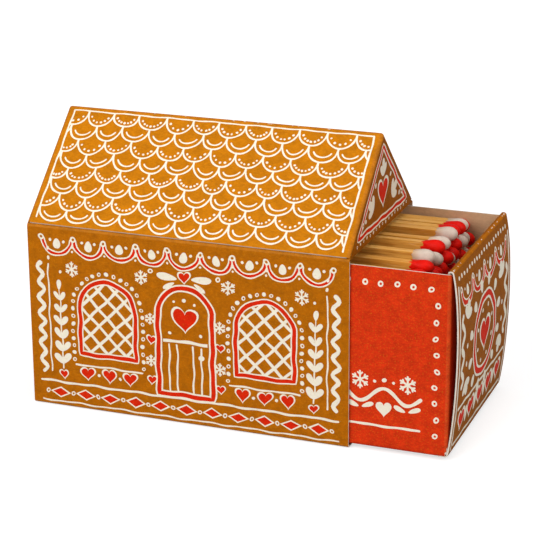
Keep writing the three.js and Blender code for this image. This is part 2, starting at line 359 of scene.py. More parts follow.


# A side of a splint. pale is how much of it shows torn, paler fibres; the top and bottom faces show more of them and
# take lighter wood than the other sides, which is partly painted light, and the other sides' darker copy of the wood
# is painted shade.
def woodMaterial(name, light, dark, pale):
    wood = Finish(name, "woodLight")
    tint = wood.attribute("tint")
    node = wood.group(woodGroup)
    wood.put(node.inputs["Tint"], tint)
    texture = node.outputs
    body = wood.mix(texture["Streak"], linear(colours[dark]), linear(colours[light]))
    stained = wood.math("MULTIPLY", texture["Stain"], 0.12 + pale * 0.6)
    body = wood.mix(stained, body, linear(colours["woodStain"]))
    torn = wood.math("MULTIPLY", texture["Tear"], 0.25 + pale)
    body = wood.mix(torn, body, linear(colours["woodPale"]))
    body = wood.mix(wood.spread(tint, 0.2, 1, 0.0, 0.5), body, linear(colours["woodShade"]))
    height = texture["Height"]
    return wood.finish(body, wood.spread(height, 0.3, 0.7, 0.45, 0.68), height, 0.6, splint)


# thin is how far the splint's colour comes through the coat where it ends on the splint.
def coatMaterial(name, grit, rough, thin):
    coat = Finish(name, name)
    texture = coat.group(coatGroup).outputs
    base = linear(colours[name])
    body = coat.mix(texture["Cloud"], scaled(base, 0.82), base)
    body = coat.mix(coat.math("MULTIPLY", texture["Grit"], dip["gritShare"]), body, linear(colours[grit]))
    through = coat.spread(coat.attribute("coat"), 0.0, 0.4, thin, 0.0)
    body = coat.mix(through, body, linear(colours["woodThroughCoat"]))
    return coat.finish(body, coat.spread(texture["Cloud"], 0, 1, *rough), texture["Height"], 0.35, dip)


materials = {
    "wallPrint": cardMaterial("wallPrint", 0.55, 0.24),
    # Fold arcs: paler print, partly worn ink and partly painted highlight.
    "wallCrease": cardMaterial("wallCrease", 0.6, 0.3),
    # Gables and tray end panels: the wall print darkened as painted shade.
    "endPrint": cardMaterial("endPrint", 0.45, 0.24),
    "roofPrint": cardMaterial("roofPrint", 0.55, 0.24),
    "redPrint": cardMaterial("redPrint", 0.5, 0.26),
    "redCreaseWearAndHighlight": cardMaterial("redCreaseWearAndHighlight", 0.55, 0.3),
    "kraft": cardMaterial("kraft", 0.12, 0.12, "rawEdge", (0.7, 0.85), 0.6),
    "rawEdge": cardMaterial("rawEdge", 0.1, 0.1, "kraft", (0.75, 0.9), 0.6),
    "creamInk": cardMaterial("creamInk", 0.34, 0.06, "kraftFleck", (0.5, 0.65), 0.25),
    "redInk": cardMaterial("redInk", 0.22, 0.16, "kraftFleck", (0.5, 0.65), 0.25),
    "striker": cardMaterial("striker", 0.3, 0.3, "kraft", (0.8, 0.95), 0.9),
    # The sides' darker wood is painted shade; the top and bottom faces' lighter wood with more torn fibres is partly
    # painted light.
    "splintWood": woodMaterial("splintWood", "woodSideShadedLight", "woodSideShadedDark", 0.0),
    "splintLitAndTorn": woodMaterial("splintLitAndTorn", "woodLight", "woodDark", 0.5),
    "headRed": coatMaterial("headRed", "redGrit", (0.42, 0.54), 0.0),
    "headPale": coatMaterial("headPale", "paleGrit", (0.46, 0.6), 0.55),
}
print("materials made")


# Folded card

def rotated(vector, angle):
    return np.array([
        vector[0] * math.cos(angle) - vector[1] * math.sin(angle),
        vector[0] * math.sin(angle) + vector[1] * math.cos(angle)])


def unit(vector):
    return vector / np.linalg.norm(vector)


def leftOf(direction):
    return np.array([-direction[1], direction[0]])


# The middle line of a folded card, with an arc at each fold and the exact normal at each point.
def foldPath(corners, radius=card["foldRadius"]):
    steps = card["foldSteps"]
    points = [np.array(corner, float) for corner in corners]
    spots = [points[0]]
    normals = [leftOf(unit(points[1] - points[0]))]
    arcs = []
    for before, corner, after in zip(points, points[1:], points[2:]):
        inwards, onwards = unit(corner - before), unit(after - corner)
        turn = math.atan2(inwards[0] * onwards[1] - inwards[1] * onwards[0], inwards @ onwards)
        if abs(turn) < card["softTurn"]:
            spots.append(corner)
            normals.append(unit(leftOf(inwards) + leftOf(onwards)))
            continue
        start = corner - inwards * radius * math.tan(abs(turn) / 2)
        centre = start + leftOf(inwards) * math.copysign(radius, turn)
        arcs.append(len(spots))
        for k in range(steps + 1):
            spots.append(centre + rotated(start - centre, turn * k / steps))
            normals.append(rotated(leftOf(inwards), turn * k / steps))
        arcs.append(len(spots) - 1)
    spots.append(points[-1])
    normals.append(leftOf(unit(points[-1] - points[-2])))
    spots, normals = np.array(spots), np.array(normals)
    reach = np.concatenate([[0], np.cumsum(np.linalg.norm(np.diff(spots, axis=0), axis=1))])
    return {"spots": spots, "normals": normals, "reach": reach, "arcs": [reach[i] for i in arcs]}


def alongPath(path, s):
    index = np.clip(np.searchsorted(path["reach"], s, side="right") - 1, 0, len(path["reach"]) - 2)
    low, high = path["reach"][index], path["reach"][index + 1]
    share = np.clip((s - low) / np.maximum(high - low, 1e-9), 0, 1)[:, None]
    spots = path["spots"][index] * (1 - share) + path["spots"][index + 1] * share
    normals = path["normals"][index] * (1 - share) + path["normals"][index + 1] * share
    return spots, normals / np.linalg.norm(normals, axis=1)[:, None]


# Where on the path one of its two coordinates has a value, on the first long straight that holds it.
def reachWhere(path, coordinate, value, skip=0, shortest=5, slack=3):
    for i in range(len(path["reach"]) - 1):
        first, second = path["spots"][i][coordinate], path["spots"][i + 1][coordinate]
        length = path["reach"][i + 1] - path["reach"][i]
        held = min(first, second) - slack <= value <= max(first, second) + slack
        if length > shortest and abs(second - first) > 1 and held:
            if skip == 0:
                return path["reach"][i] + length * (value - first) / (second - first)
            skip -= 1
    raise ValueError("no such place on the path")


def insideOf(points, polygon):
    x, y = points[:, 0][:, None], points[:, 1][:, None]
    x0, y0 = polygon[:, 0][None], polygon[:, 1][None]
    x1, y1 = np.roll(polygon[:, 0], -1)[None], np.roll(polygon[:, 1], -1)[None]
    side = (x1 - x0) * (y - y0) - (x - x0) * (y1 - y0)
    upward = (y0 <= y) & (y1 > y) & (side > 0)
    downward = (y0 > y) & (y1 <= y) & (side < 0)
    return (upward.sum(1) - downward.sum(1)) != 0


# Splits a flat outline into triangles along every fold and every printed edge, and says which ink each holds.
def partition(outline, folds, artwork, groundInk):
    low, high = outline.min(0), outline.max(0)
    spots, edges = [], []

    def addLoop(points, closed=True):
        start, count = len(spots), len(points)
        spots.extend(Vector((float(p[0]), float(p[1]))) for p in points)
        edges.extend((start + i, start + (i + 1) % count) for i in range(count if closed else count - 1))

    addLoop(outline)
    for s in folds:
        if low[1] + 1e-4 < s < high[1] - 1e-4:
            addLoop([(low[0], s), (high[0], s)], False)
    for polygon, _, clip in artwork:
        addLoop(polygon)
        if clip is not None:
            addLoop(clip)
    result = geometry.delaunay_2d_cdt(spots, edges, [], 0, 1e-5, False)
    points = np.array([tuple(p) for p in result[0]])
    faces = np.array([f for f in result[2] if len(f) == 3])
    centres = points[faces].mean(1)
    kept = insideOf(centres, outline)
    faces, centres = faces[kept], centres[kept]
    inks = np.array([groundInk] * len(faces), dtype=object)
    for polygon, ink, clip in artwork:
        lowest, highest = polygon.min(0), polygon.max(0)
        near = np.where(((centres >= lowest) & (centres <= highest)).all(1))[0]
        if len(near) == 0:
            continue
        hit = insideOf(centres[near], polygon)
        if clip is not None:
            hit &= insideOf(centres[near], clip)
        inks[near[hit]] = ink
    used, order = np.unique(faces, return_inverse=True)
    return points[used], order.reshape(faces.shape), inks


class Skin:
    def __init__(self):
        self.spots, self.normals, self.faces, self.inks = [], [], [], []

    # Faces whose winding disagrees with their normals are turned over.
    def add(self, spots, normals, faces, inks):
        start = len(self.spots)
        spots, normals = np.asarray(spots, float), np.asarray(normals, float)
        self.spots.extend(spots)
        self.normals.extend(normals)
        if isinstance(inks, str):
            inks = [inks] * len(faces)
        for face, ink in zip(faces, inks):
            a, b, c = (spots[i] for i in face[:3])
            flip = np.cross(b - a, c - a) @ normals[list(face)].mean(0) < 0
            self.faces.append([start + int(i) for i in (reversed(face) if flip else face)])
            self.inks.append(ink)

    def build(self, name, values=None):
        mesh = bpy.data.meshes.new(name)
        mesh.from_pydata([tuple(p) for p in place(self.spots)], [], self.faces)
        slots = list(dict.fromkeys(self.inks))
        for ink in slots:
            mesh.materials.append(materials[ink])
        mesh.polygons.foreach_set("material_index", [slots.index(ink) for ink in self.inks])
        mesh.polygons.foreach_set("use_smooth", [True] * len(self.faces))
        mesh.normals_split_custom_set_from_vertices([tuple(n) for n in self.normals])
        for label, numbers in (values or {}).items():
            mesh.attributes.new(label, "FLOAT", "POINT").data.foreach_set("value", numbers)
        piece = bpy.data.objects.new(name, mesh)
        bpy.context.scene.collection.objects.link(piece)
        print(name, len(self.faces), "faces")
        return piece


# Which of X, Y and Z the fold's axis and the path's two coordinates are.
layouts = {"x": (0, 1, 2), "y": (1, 0, 2), "z": (2, 0, 1)}


def inSpace(axis, u, pair):
    spots = np.zeros((len(u), 3))
    order = layouts[axis]
    spots[:, order[0]] = u
    spots[:, order[1]] = pair[:, 0]
    spots[:, order[2]] = pair[:, 1]
    return spots


# Adds one card to a skin. Its outline and artwork are drawn flat, as u along the folds and s across them.
# side is 1 where the printed face is to the left of the path.
def addSheet(skin, axis, path, outline, side, ground, artwork=(), inner="kraft", openEdge=None, rim=None):
    outline = np.asarray(outline, float)
    folds = path["reach"][1:-1]

    def onFace(points, away):
        pair, normal = alongPath(path, points[:, 1])
        spots = inSpace(axis, points[:, 0], pair + normal * away * side * half)
        return spots, inSpace(axis, np.zeros(len(points)), normal * away * side)

    points, faces, inks = partition(outline, folds, artwork, ground)
    spots, normals = onFace(points, 1)
    skin.add(spots, normals, faces, inks)
    points, faces, _ = partition(outline, folds, [], inner)
    under, underNormals = onFace(points, -1)
    skin.add(under, underNormals, faces, inner)
    over, _ = onFace(points, 1)
    owners = {}
    for face in faces:
        for k in range(3):
            a, b, c = face[k], face[(k + 1) % 3], face[(k + 2) % 3]
            owners.setdefault((min(a, b), max(a, b)), []).append(c)
    for (a, b), thirds in owners.items():
        if len(thirds) != 1 or (openEdge and openEdge(points[a], points[b])):
            continue
        along = points[b] - points[a]
        away = np.array([along[1], -along[0]])
        if away @ (points[thirds[0]] - points[a]) > 0:
            away = -away
        away = unit(away)
        middle = ((points[a] + points[b]) / 2)[None]
        _, normal = alongPath(path, middle[:, 1])
        across = np.array([[normal[0][1], -normal[0][0]]])
        outward = inSpace(axis, np.array([away[0]]), across * away[1])[0]
        corners = [over[a], over[b], under[b], under[a]]
        skin.add(corners, [outward] * 4, [(0, 1, 2, 3)], rim(middle[0]) if rim else "rawEdge")


def rectangle(u0, s0, u1, s1):
    return np.array([[u0, s0], [u1, s0], [u1, s1], [u0, s1]], float)


# Ornament, drawn in millimetres with y up. A drawing is a list of polygon, ink and clipping polygon.

def dense(points, closed, step=1.0):
    points = [np.array(p, float) for p in points]
    ends = points[1:] + ([points[0]] if closed else [])
    out = []
    for start, end in zip(points, ends):
        count = max(1, int(math.ceil(np.linalg.norm(end - start) / step)))
        out.extend(start + (end - start) * k / count for k in range(count))
    if not closed:
        out.append(points[-1])
    return np.array(out)


def tangents(points, closed):
    if closed:
        steps = np.roll(points, -1, 0) - np.roll(points, 1, 0)
    else:
        steps = np.gradient(points, axis=0)
    return steps / np.maximum(np.linalg.norm(steps, axis=1), 1e-9)[:, None]


# A line with a little unevenness of width. taper thins it towards its two ends.
def ribbon(points, width, ink="creamInk", closed=False, taper=(1.0, 1.0), clip=None, step=0.8):
    points = dense(points, closed, step)
    along = tangents(points, closed)
    side = np.column_stack([-along[:, 1], along[:, 0]])
    where = np.linspace(0, 1, len(points))
    swell = 1 + 0.10 * np.sin(np.arange(len(points)) * step * 0.9 + points[0][0] + points[0][1])
    thin = taper[0] + (1 - taper[0]) * np.clip(where * 3, 0, 1)
    thin *= taper[1] + (1 - taper[1]) * np.clip((1 - where) * 3, 0, 1)
    reach = (width / 2 * swell * thin)[:, None] if not closed else np.full((len(points), 1), width / 2)
    left, right = points + side * reach, points - side * reach
    if closed:
        polygon = np.concatenate([left, left[:1], right[:1], right[::-1]])
        return [(polygon, ink, clip)]
    caps = []
    for index, direction in ((-1, 1), (0, -1)):
        spread = reach[index][0]
        angles = np.linspace(math.pi / 2, -math.pi / 2, 6)[1:-1] * direction
        base = math.atan2(along[index][1], along[index][0]) + (0 if direction == 1 else math.pi)
        turns = base + angles * direction
        caps.append(points[index] + spread * np.column_stack([np.cos(turns), np.sin(turns)]))
    return [(np.concatenate([left, caps[0], right[::-1], caps[1]]), ink, clip)]


def rule(x0, x1, y, width, clip=None):
    return ribbon([(x0, y), (x1, y)], width, clip=clip)


def polar(x, y, radius, angle):
    return x + radius * math.cos(angle), y + radius * math.sin(angle)


# The same place at both ends of a sheet, and which way is inward.
def mirrored(x, wide):
    return (x, 1), (wide - x, -1)


def discs(radius, *spots):
    return [mark for x, y in spots for mark in disc(x, y, radius)]


# A red line between two cream ones.
def band(points, width, lip=0.42, closed=False):
    return ribbon(points, width + lip * 2, "creamInk", closed) + ribbon(points, width, "redInk", closed)


def disc(x, y, radius, ink="creamInk", count=14):
    turns = np.linspace(0, 2 * math.pi, count, endpoint=False)
    uneven = 1 + 0.07 * np.sin(turns * 2 + x * 1.3 + y)
    return [(np.column_stack([x + radius * uneven * np.cos(turns), y + radius * uneven * np.sin(turns)]), ink, None)]


def ring(x, y, radius, hole, ground):
    return disc(x, y, radius) + disc(x + radius * 0.06, y, hole, ground, 10)


def heartLine(x, y, width, count=34):
    turns = np.linspace(0, 2 * math.pi, count, endpoint=False)
    across = 16 * np.sin(turns) ** 3
    up = 13 * np.cos(turns) - 5 * np.cos(2 * turns) - 2 * np.cos(3 * turns) - np.cos(4 * turns)
    return np.column_stack([x + across * width / 32, y + (up + 2) * width / 32])


def heart(x, y, width, lip=0.45):
    return [(heartLine(x, y, width + lip * 2.2), "creamInk", None), (heartLine(x, y, width), "redInk", None)]


def diamondLine(x, y, width, height):
    return np.array([[x - width / 2, y], [x, y - height / 2], [x + width / 2, y], [x, y + height / 2]])


def diamond(x, y, width, height, lip=0.5):
    grow = 1 + lip * 2 / min(width, height)
    return [(diamondLine(x, y, width * grow, height * grow), "creamInk", None),
            (diamondLine(x, y, width, height), "redInk", None)]


# A six-armed snow crystal.
def crystal(x, y, radius, width=0.42):
    out = []
    for arm in range(6):
        angle = math.pi / 2 + arm * math.pi / 3
        tip = np.array(polar(x, y, radius, angle))
        out += ribbon([(x, y), tip], width)
        fork = np.array([x, y]) + (tip - np.array([x, y])) * 0.55
        for turn in (-0.75, 0.75):
            end = fork + radius * 0.38 * np.array([math.cos(angle + turn), math.sin(angle + turn)])
            out += ribbon([fork, end], width * 0.85)
    return out


def archLine(x, y, width, height, count=18):
    radius = width / 2
    turns = np.linspace(0, math.pi, count)
    top = [(x + radius * math.cos(t), y + height - radius + radius * math.sin(t)) for t in turns]
    return np.array([(x - radius, y), (x + radius, y)] + top)


# An arched window: a red frame between cream lines, and a lattice of diagonal bars.
def archWindow(x, y, width, height, pitch, bar=0.75, frameWidth=0.95):
    line = archLine(x, y, width, height)
    glass = archLine(x, y, width - frameWidth, height - frameWidth / 2)
    out = []
    for slope in (-1, 1):
        for k in range(-12, 13):
            start = (x + k * pitch - slope * height, y)
            end = (x + k * pitch + slope * height, y + height * 2)
            out += ribbon([start, end], bar, clip=glass, step=3)
    out += band(line, frameWidth, closed=True)
    return out


# Solid and open dots by turns, evenly spaced along a line.
def dotChain(points, pitch, ground, radius=0.68):
    points = dense(points, False, 0.4)
    reach = np.concatenate([[0], np.cumsum(np.linalg.norm(np.diff(points, axis=0), axis=1))])
    count = max(2, int(round(reach[-1] / pitch)))
    out = []
    for k in range(count + 1):
        x, y = (np.interp(reach[-1] * k / count, reach, points[:, i]) for i in (0, 1))
        out += disc(x, y, radius) if k % 2 else ring(x, y, radius * 0.95, radius * 0.45, ground)
    return out


# A pointed leaf with its foot at a place, and a stem with pairs of them.
def leaf(x, y, length, width, angle, ink="creamInk"):
    line = []
    for t in np.linspace(0, 2 * math.pi, 18, endpoint=False):
        a = length * (0.5 - 0.5 * math.cos(t))
        b = width / 2 * math.sin(t) * (1.15 - 0.3 * math.cos(t))
        line.append((x + a * math.cos(angle) - b * math.sin(angle), y + a * math.sin(angle) + b * math.cos(angle)))
    return [(np.array(line), ink, None)]


def sprig(x0, y0, x1, y1, pairs, length, width, spread=0.75):
    angle = math.atan2(y1 - y0, x1 - x0)
    out = ribbon([(x0, y0), (x1, y1)], 0.5, taper=(1.0, 0.6))
    for k in range(pairs):
        share = (k + 0.35) / (pairs + 0.15)
        x, y = x0 + (x1 - x0) * share, y0 + (y1 - y0) * share
        size = 1 - 0.3 * share
        for side in (-1, 1):
            out += leaf(x, y, length * size, width * size, angle + side * spread)
    return out + leaf(x1, y1, length * 0.7, width * 0.75, angle)


def swagRow(x0, x1, y, count, depth, ground, width=0.8):
    out = []
    span = (x1 - x0) / count
    for k in range(count):
        left = x0 + k * span
        turns = np.linspace(0, math.pi, 14)
        arc = [(left + span / 2 - (span / 2 - 0.45) * math.cos(t), y - depth * math.sin(t)) for t in turns]
        out += band(arc, width, 0.45)
        out += leaf(left + span / 2, y + 0.5, depth * 0.72, 2.3, -math.pi / 2)
        out += disc(left + span * 0.29, y - 0.3, 0.5) + disc(left + span * 0.71, y - 0.3, 0.5)
    for k in range(count + 1):
        out += ring(x0 + k * span, y + 0.5, 1.05, 0.48, ground)
        if 0 < k < count:
            out += disc(x0 + k * span, y - 2.2, 0.5) + disc(x0 + k * span, y - 3.8, 0.38)
    return out


def rickRack(x, y0, y1, reach, waves, width):
    ys = np.linspace(y0, y1, waves * 8 + 1)
    return ribbon([(x + reach * math.sin(k * math.pi / 4), yy) for k, yy in enumerate(ys)], width)


def lozengeRow(x0, x1, y, count, width, height, ground):
    out = []
    span = (x1 - x0) / count
    for k in range(count):
        out += diamond(x0 + (k + 0.5) * span, y, width, height)
    for k in range(count + 1):
        out += ring(x0 + k * span, y, 0.78, 0.36, ground)
    return out


def wallDrawing():
    ground, wide = "wallPrint", sleeve["length"]
    out = swagRow(5.0, wide - 5.0, 57.9, 9, 4.8, ground) + rule(3.2, wide - 3.2, 1.7, 0.5)
    out += lozengeRow(5.5, wide - 5.5, 5.0, 11, 5.4, 2.9, ground) + rule(3.2, wide - 3.2, 8.6, 0.75)
    for x, inward in mirrored(4.2, wide):
        line = x + 2.8 * inward
        out += rickRack(x, 12.0, 49.5, 1.0 * inward, 7, 1.4) + ribbon([(line, 12.0), (line, 49.5)], 0.5)
        out += discs(0.45, *((x + 2.9 * inward, 51.5 + 1.6 * k - 1.2 * (k % 2)) for k in range(4)))
    for x, _ in mirrored(27.8, wide):
        out += archWindow(x, 19.6, 19.6, 25.6, 6.2, 1.0, 1.3)
        around = archLine(x, 17.2, 24.8, 30.6)
        out += dotChain(np.concatenate([around[1:], around[:1]]), 2.55, ground, 0.72)
        for k in (-1, 0, 1):
            out += heart(x + k * 7.6, 12.7, 4.5, 0.5)
            if k < 1:
                out += disc(x + (k + 0.5) * 7.6, 12.5, 0.55)
        out += rule(x - 11.8, x + 11.8, 15.6, 0.6)
        out += crystal(x - 12.3, 48.4, 2.3, 0.52) + crystal(x + 12.3, 48.4, 2.3, 0.52)
    for x, inward in mirrored(11.4, wide):
        out += sprig(x, 13.5, x - inward * 0.6, 41.0, 6, 4.6, 1.9, 0.62)
        out += heart(x, 11.4, 2.8, 0.42) + disc(x, 46.8, 0.5)
    x = wide / 2
    out += band(archLine(x, 9.8, 18.8, 36.6), 1.45, 0.55, True)
    doorway = archLine(x, 11.0, 15.6, 34.0)
    for k in (-2, -1, 1, 2):
        out += ribbon([(x + k * 2.8, 10.2), (x + k * 2.8, 26.9)], 0.6, clip=doorway)
    out += rule(x - 8, x + 8, 28.2, 1.0, doorway) + heart(x, 35.6, 8.6, 0.65) + disc(x + 5.7, 23.6, 1.0)
    out += discs(0.55, (x - 5.2, 31.0), (x + 5.2, 31.0)) + disc(x, 42.3, 0.65)
    out += discs(0.45, (x - 3.5, 41.4), (x + 3.5, 41.4))
    for side in (-1, 1):
        for y in (13.6, 27.6):
            out += heart(x + side * 12.0, y, 2.8, 0.42)
        for y in (20.4, 34.8):
            out += crystal(x + side * 12.0, y, 1.9, 0.46)
        out += leaf(x + side * 2.6, 49.4, 7.0, 2.0, math.pi / 2 - side * (math.pi / 2 - 0.1))
        out += leaf(x + side * 3.4, 48.0, 4.2, 1.3, math.pi / 2 - side * (math.pi / 2 + 0.5))
        out += ring(x + side * 11.6, 50.8, 0.85, 0.38, ground)
    return out + heart(x, 50.0, 4.0, 0.5)


def fan(x, y, length, width, angle, spread=0.62):
    return [mark for turn, size in ((-spread, 0.82), (spread, 0.82), (0.0, 1.0))
            for mark in leaf(x, y, length * size, width * size, angle + turn)]


def gableDrawing():
    ground, wide, high = "endPrint", sleeve["width"], roof["rise"]
    middle, inset = wide / 2, 3.4
    slope = math.atan2(high, middle)
    foot = inset / math.tan(slope / 2)
    triangle = np.array([(foot, inset), (wide - foot, inset), (middle, high - inset / math.cos(slope))])
    out = band(triangle, 1.15, 0.6, closed=True) + heart(middle, 11.8, 9.6, 0.9)
    out += fan(middle, 17.4, 5.6, 2.3, math.pi / 2, 0.7)
    for side in (-1, 1):
        out += fan(middle + side * 9.6, 8.4, 6.4, 2.6, math.pi / 2 - side * 0.95, 0.75)
        out += discs(0.8, (middle + side * 7.7, 16.0), (middle + side * 17.6, 7.0))
        out += ring(middle + side * 20.4, 6.7, 0.95, 0.4, ground)
    return out + dotChain([(7.5, 1.4), (wide - 7.5, 1.4)], 3.2, ground, 0.55)


# Drawn with wide lines, as the panel is mostly seen from its side.
def panelDrawing():
    ground = "endPrint"
    wide, high = trayFar - trayNear, trayFoldTop - trayBottom
    x, y, radius = wide / 2, 31.0, 12.6
    out = discs(0.72, *((4.4 + k * (wide - 8.8) / 19, high - 2.7) for k in range(20)))
    for edge, _ in mirrored(2.3, wide):
        out += ribbon([(edge, 2.2), (edge, high - 5.4)], 1.15)
    out += swagRow(5.0, wide - 5.0, high - 7.0, 4, 5.4, ground, 1.35)
    turns = np.linspace(0, 2 * math.pi, 30, endpoint=False)
    out += band([polar(x, y, radius, t) for t in turns], 1.9, 0.8, True)
    for angle in (2 * math.pi * (k + 0.5) / 12 for k in range(12)):
        out += leaf(*polar(x, y, radius + 2.3, angle), 4.4, 2.7, angle)
    out += heart(x, y - 0.4, 11.0, 1.1)
    out += discs(0.75, *(polar(x, y, 9.0, 2 * math.pi * (k + 0.5) / 8) for k in range(8)))
    for edge, inward in mirrored(6.2, wide):
        out += rickRack(edge, 22.0, 45.0, 1.5 * inward, 3, 1.9)
        for foot, up in ((20.4, -1), (45.2, 1)):
            tilt = math.pi / 2 * up - 0.35 * inward * up
            out += fan(edge + 5.0 * inward, foot - 2.2 * up, 6.0, 2.8, tilt, 0.8)
        out += discs(0.85, (edge + 4.6 * inward, 28.0), (edge + 4.9 * inward, 34.0))
    out += rule(4.4, wide - 4.4, 15.2, 0.95)
    for k in range(-2, 3):
        out += heart(x + k * 11.2, 9.6, 6.6, 0.95)
        if k < 2:
            out += leaf(x + (k + 0.5) * 11.2, 6.6, 6.0, 2.4, math.pi / 2)
    return out + rule(4.4, wide - 4.4, 3.4, 0.95)


def traySideDrawing():
    ground, wide, top, span = "redPrint", sleeve["length"], trayRim - trayBottom - 5.0, 15.3
    out = []
    for k in range(20):
        out += ring(4.8 + k * 5.2 + 0.2 * math.sin(k * 3.1), top - 0.2 * math.sin(k * 2.1), 0.98, 0.42, ground)
    for x, _ in mirrored(4.2, wide):
        for k in range(1, 10):
            out += ring(x + 0.35 * math.sin(k * 1.7), top - k * 5.3, 0.95, 0.4, ground)
    wave = [(9 + 0.5 * k, 17.8 + 2.3 * math.sin(k * 0.5 * 2 * math.pi / span)) for k in range(185)]
    out += ribbon(wave, 1.15)
    for k in range(6):
        x = 9 + span * (k + 0.25)
        between = x + span / 2
        out += [(heartLine(x, 13.2, 5.4), "creamInk", None)] + crystal(between, 22.2, 2.7, 0.62)
        out += leaf(between - 0.5, 13.4, 4.0, 1.4, math.pi - 0.35) + leaf(between + 0.5, 13.4, 4.0, 1.4, 0.35)
        out += disc(x, 23.0, 0.75) + discs(0.5, (x - 3.0, 22.4), (x + 3.0, 22.4))
    out += rule(9, wide - 9, 7.6, 0.8)
    chip = ((0, 0.9), (0.8, 0.9), (0.9, 1.5), (0.4, 1.9), (0.35, 2.9), (0, 3.2))
    for x, inward in mirrored(0.0, wide):
        out.append((np.array([(x + away * inward, y) for away, y in chip]), "rawEdge", None))
    return out


roof = {
    "rise": 31.6,
    "gableFlapDepth": 12.0,
    "gableFlapSideGap": 3,
    "clearance": 0.03,
    "scaleRows": 8,
    "scaleColumns": 11.2,
    "sideMargin": 2.6,
    "ridgeMargin": 0.9,
    "eaveMargin": 1.6,
    "lineWidth": 0.6,
}


# Rows of fish scales, by turns with a row of dots and with an inner arc. y runs up the slope, and each row
# hangs from the lowest points of the one above.
def scaleDrawing(slope):
    wide = sleeve["length"]
    left, right = roof["sideMargin"], wide - roof["sideMargin"]
    top, bottom = slope - roof["ridgeMargin"], roof["eaveMargin"]
    width = roof["lineWidth"]
    pitch = (right - left) / roof["scaleColumns"]
    drop = (top - bottom) / roof["scaleRows"]
    field = rectangle(left, 0, right, top)
    chance = random.Random(21)
    cusps = [(left + (k - 1.42) * pitch + chance.uniform(-0.5, 0.5), top)
             for k in range(int(roof["scaleColumns"]) + 4)]
    out = []

    def hanging(first, second, depth, share, lift, start=0.0, end=math.pi, count=15):
        middle, reach = (first[0] + second[0]) / 2, (second[0] - first[0]) / 2 * share
        points = []
        for t in np.linspace(start, end, count):
            level = first[1] + (second[1] - first[1]) * (1 - math.cos(t)) / 2
            points.append((middle - reach * math.cos(t), level - lift - (depth * share - lift) * math.sin(t) ** 0.86))
        return points

    for row in range(roof["scaleRows"]):
        lowest = []
        for first, second in zip(cusps, cusps[1:]):
            depth = drop * chance.uniform(0.9, 1.1)
            middle, level = (first[0] + second[0]) / 2, (first[1] + second[1]) / 2
            lowest.append((middle + chance.uniform(-0.5, 0.5), level - depth))
            out += ribbon(hanging(first, second, depth, 1.0, 0.0), width, clip=field)
            if row % 2 == 0:
                count = chance.choice((5, 6, 6, 7, 7))
                for k in range(count):
                    t = math.pi * (0.16 + 0.68 * (k + chance.uniform(-0.12, 0.12)) / (count - 1))
                    x, y = hanging(first, second, depth, 0.74, 0.0, t, t, 1)[0]
                    if left + 0.6 < x < right - 0.6 and y < top - 0.5:
                        out += disc(x, y, chance.uniform(0.34, 0.46), count=9)
            else:
                start, end = math.pi * chance.uniform(0.13, 0.2), math.pi * chance.uniform(0.8, 0.87)
                out += ribbon(hanging(first, second, depth, 0.68, 0.3, start, end, 11), width * 0.85, clip=field)
        first, last = lowest[0], lowest[-1]
        cusps = [(first[0] - pitch, first[1]), *lowest, (last[0] + pitch, last[1])]
    out += ribbon([(left, bottom + 0.6), (left, top)], width)
    out += ribbon([(right, bottom + 0.2), (right, top)], width)
    out += ribbon([(left, top), (right, top)], width * 0.8)
    return out


# Moves a drawing onto a sheet, and gives its lines the slow wander of a hand.
def onSheet(drawing, origin, xAxis, yAxis, wander=0.16):
    origin, xAxis, yAxis = (np.array(v, float) for v in (origin, xAxis, yAxis))

    def moved(points):
        x, y = points[:, 0], points[:, 1]
        dx = wander * (np.sin(x * 0.31 + y * 0.47) + 0.6 * np.sin(y * 0.9 - x * 0.17 + 2))
        dy = wander * (np.sin(y * 0.37 - x * 0.41 + 1) + 0.6 * np.sin(x * 0.8 + y * 0.23))
        return origin + (x + dx)[:, None] * xAxis + (y + dy)[:, None] * yAxis

    return [(moved(polygon), ink, None if clip is None else moved(clip)) for polygon, ink, clip in drawing]


# Small rubbed spots along a fold, where the ink has come off.
def rubbed(u0, u1, s, count, seed, reach=0.22):
    chance = random.Random(seed)
    out = []
    for _ in range(count):
        u, long = chance.uniform(u0, u1), chance.uniform(0.3, 1.1)
        turns = np.linspace(0, 2 * math.pi, 7, endpoint=False)
        out.append((np.array([(u + long / 2 * math.cos(t), s + reach * chance.uniform(0.4, 1.0) * math.sin(t))
                              for t in turns]), "rawEdge", None))
    return out


# Gives the fold arcs their own ink; the paler crease inks are partly worn ink and partly painted highlight.
def creases(path, u0, u1, ink, only=None):
    out = []
    for index, (s0, s1) in enumerate(zip(path["arcs"][::2], path["arcs"][1::2])):
        if only is None or index in only:
            out.append((rectangle(u0, s0, u1, s1), ink, None))
    return out


# Says of an edge whether it lies on one of the path's ends, where the card goes on and shows no cut edge.
def atEnds(end):
    return lambda a, b: max(a[1], b[1]) < tiny or min(a[1], b[1]) > end - tiny


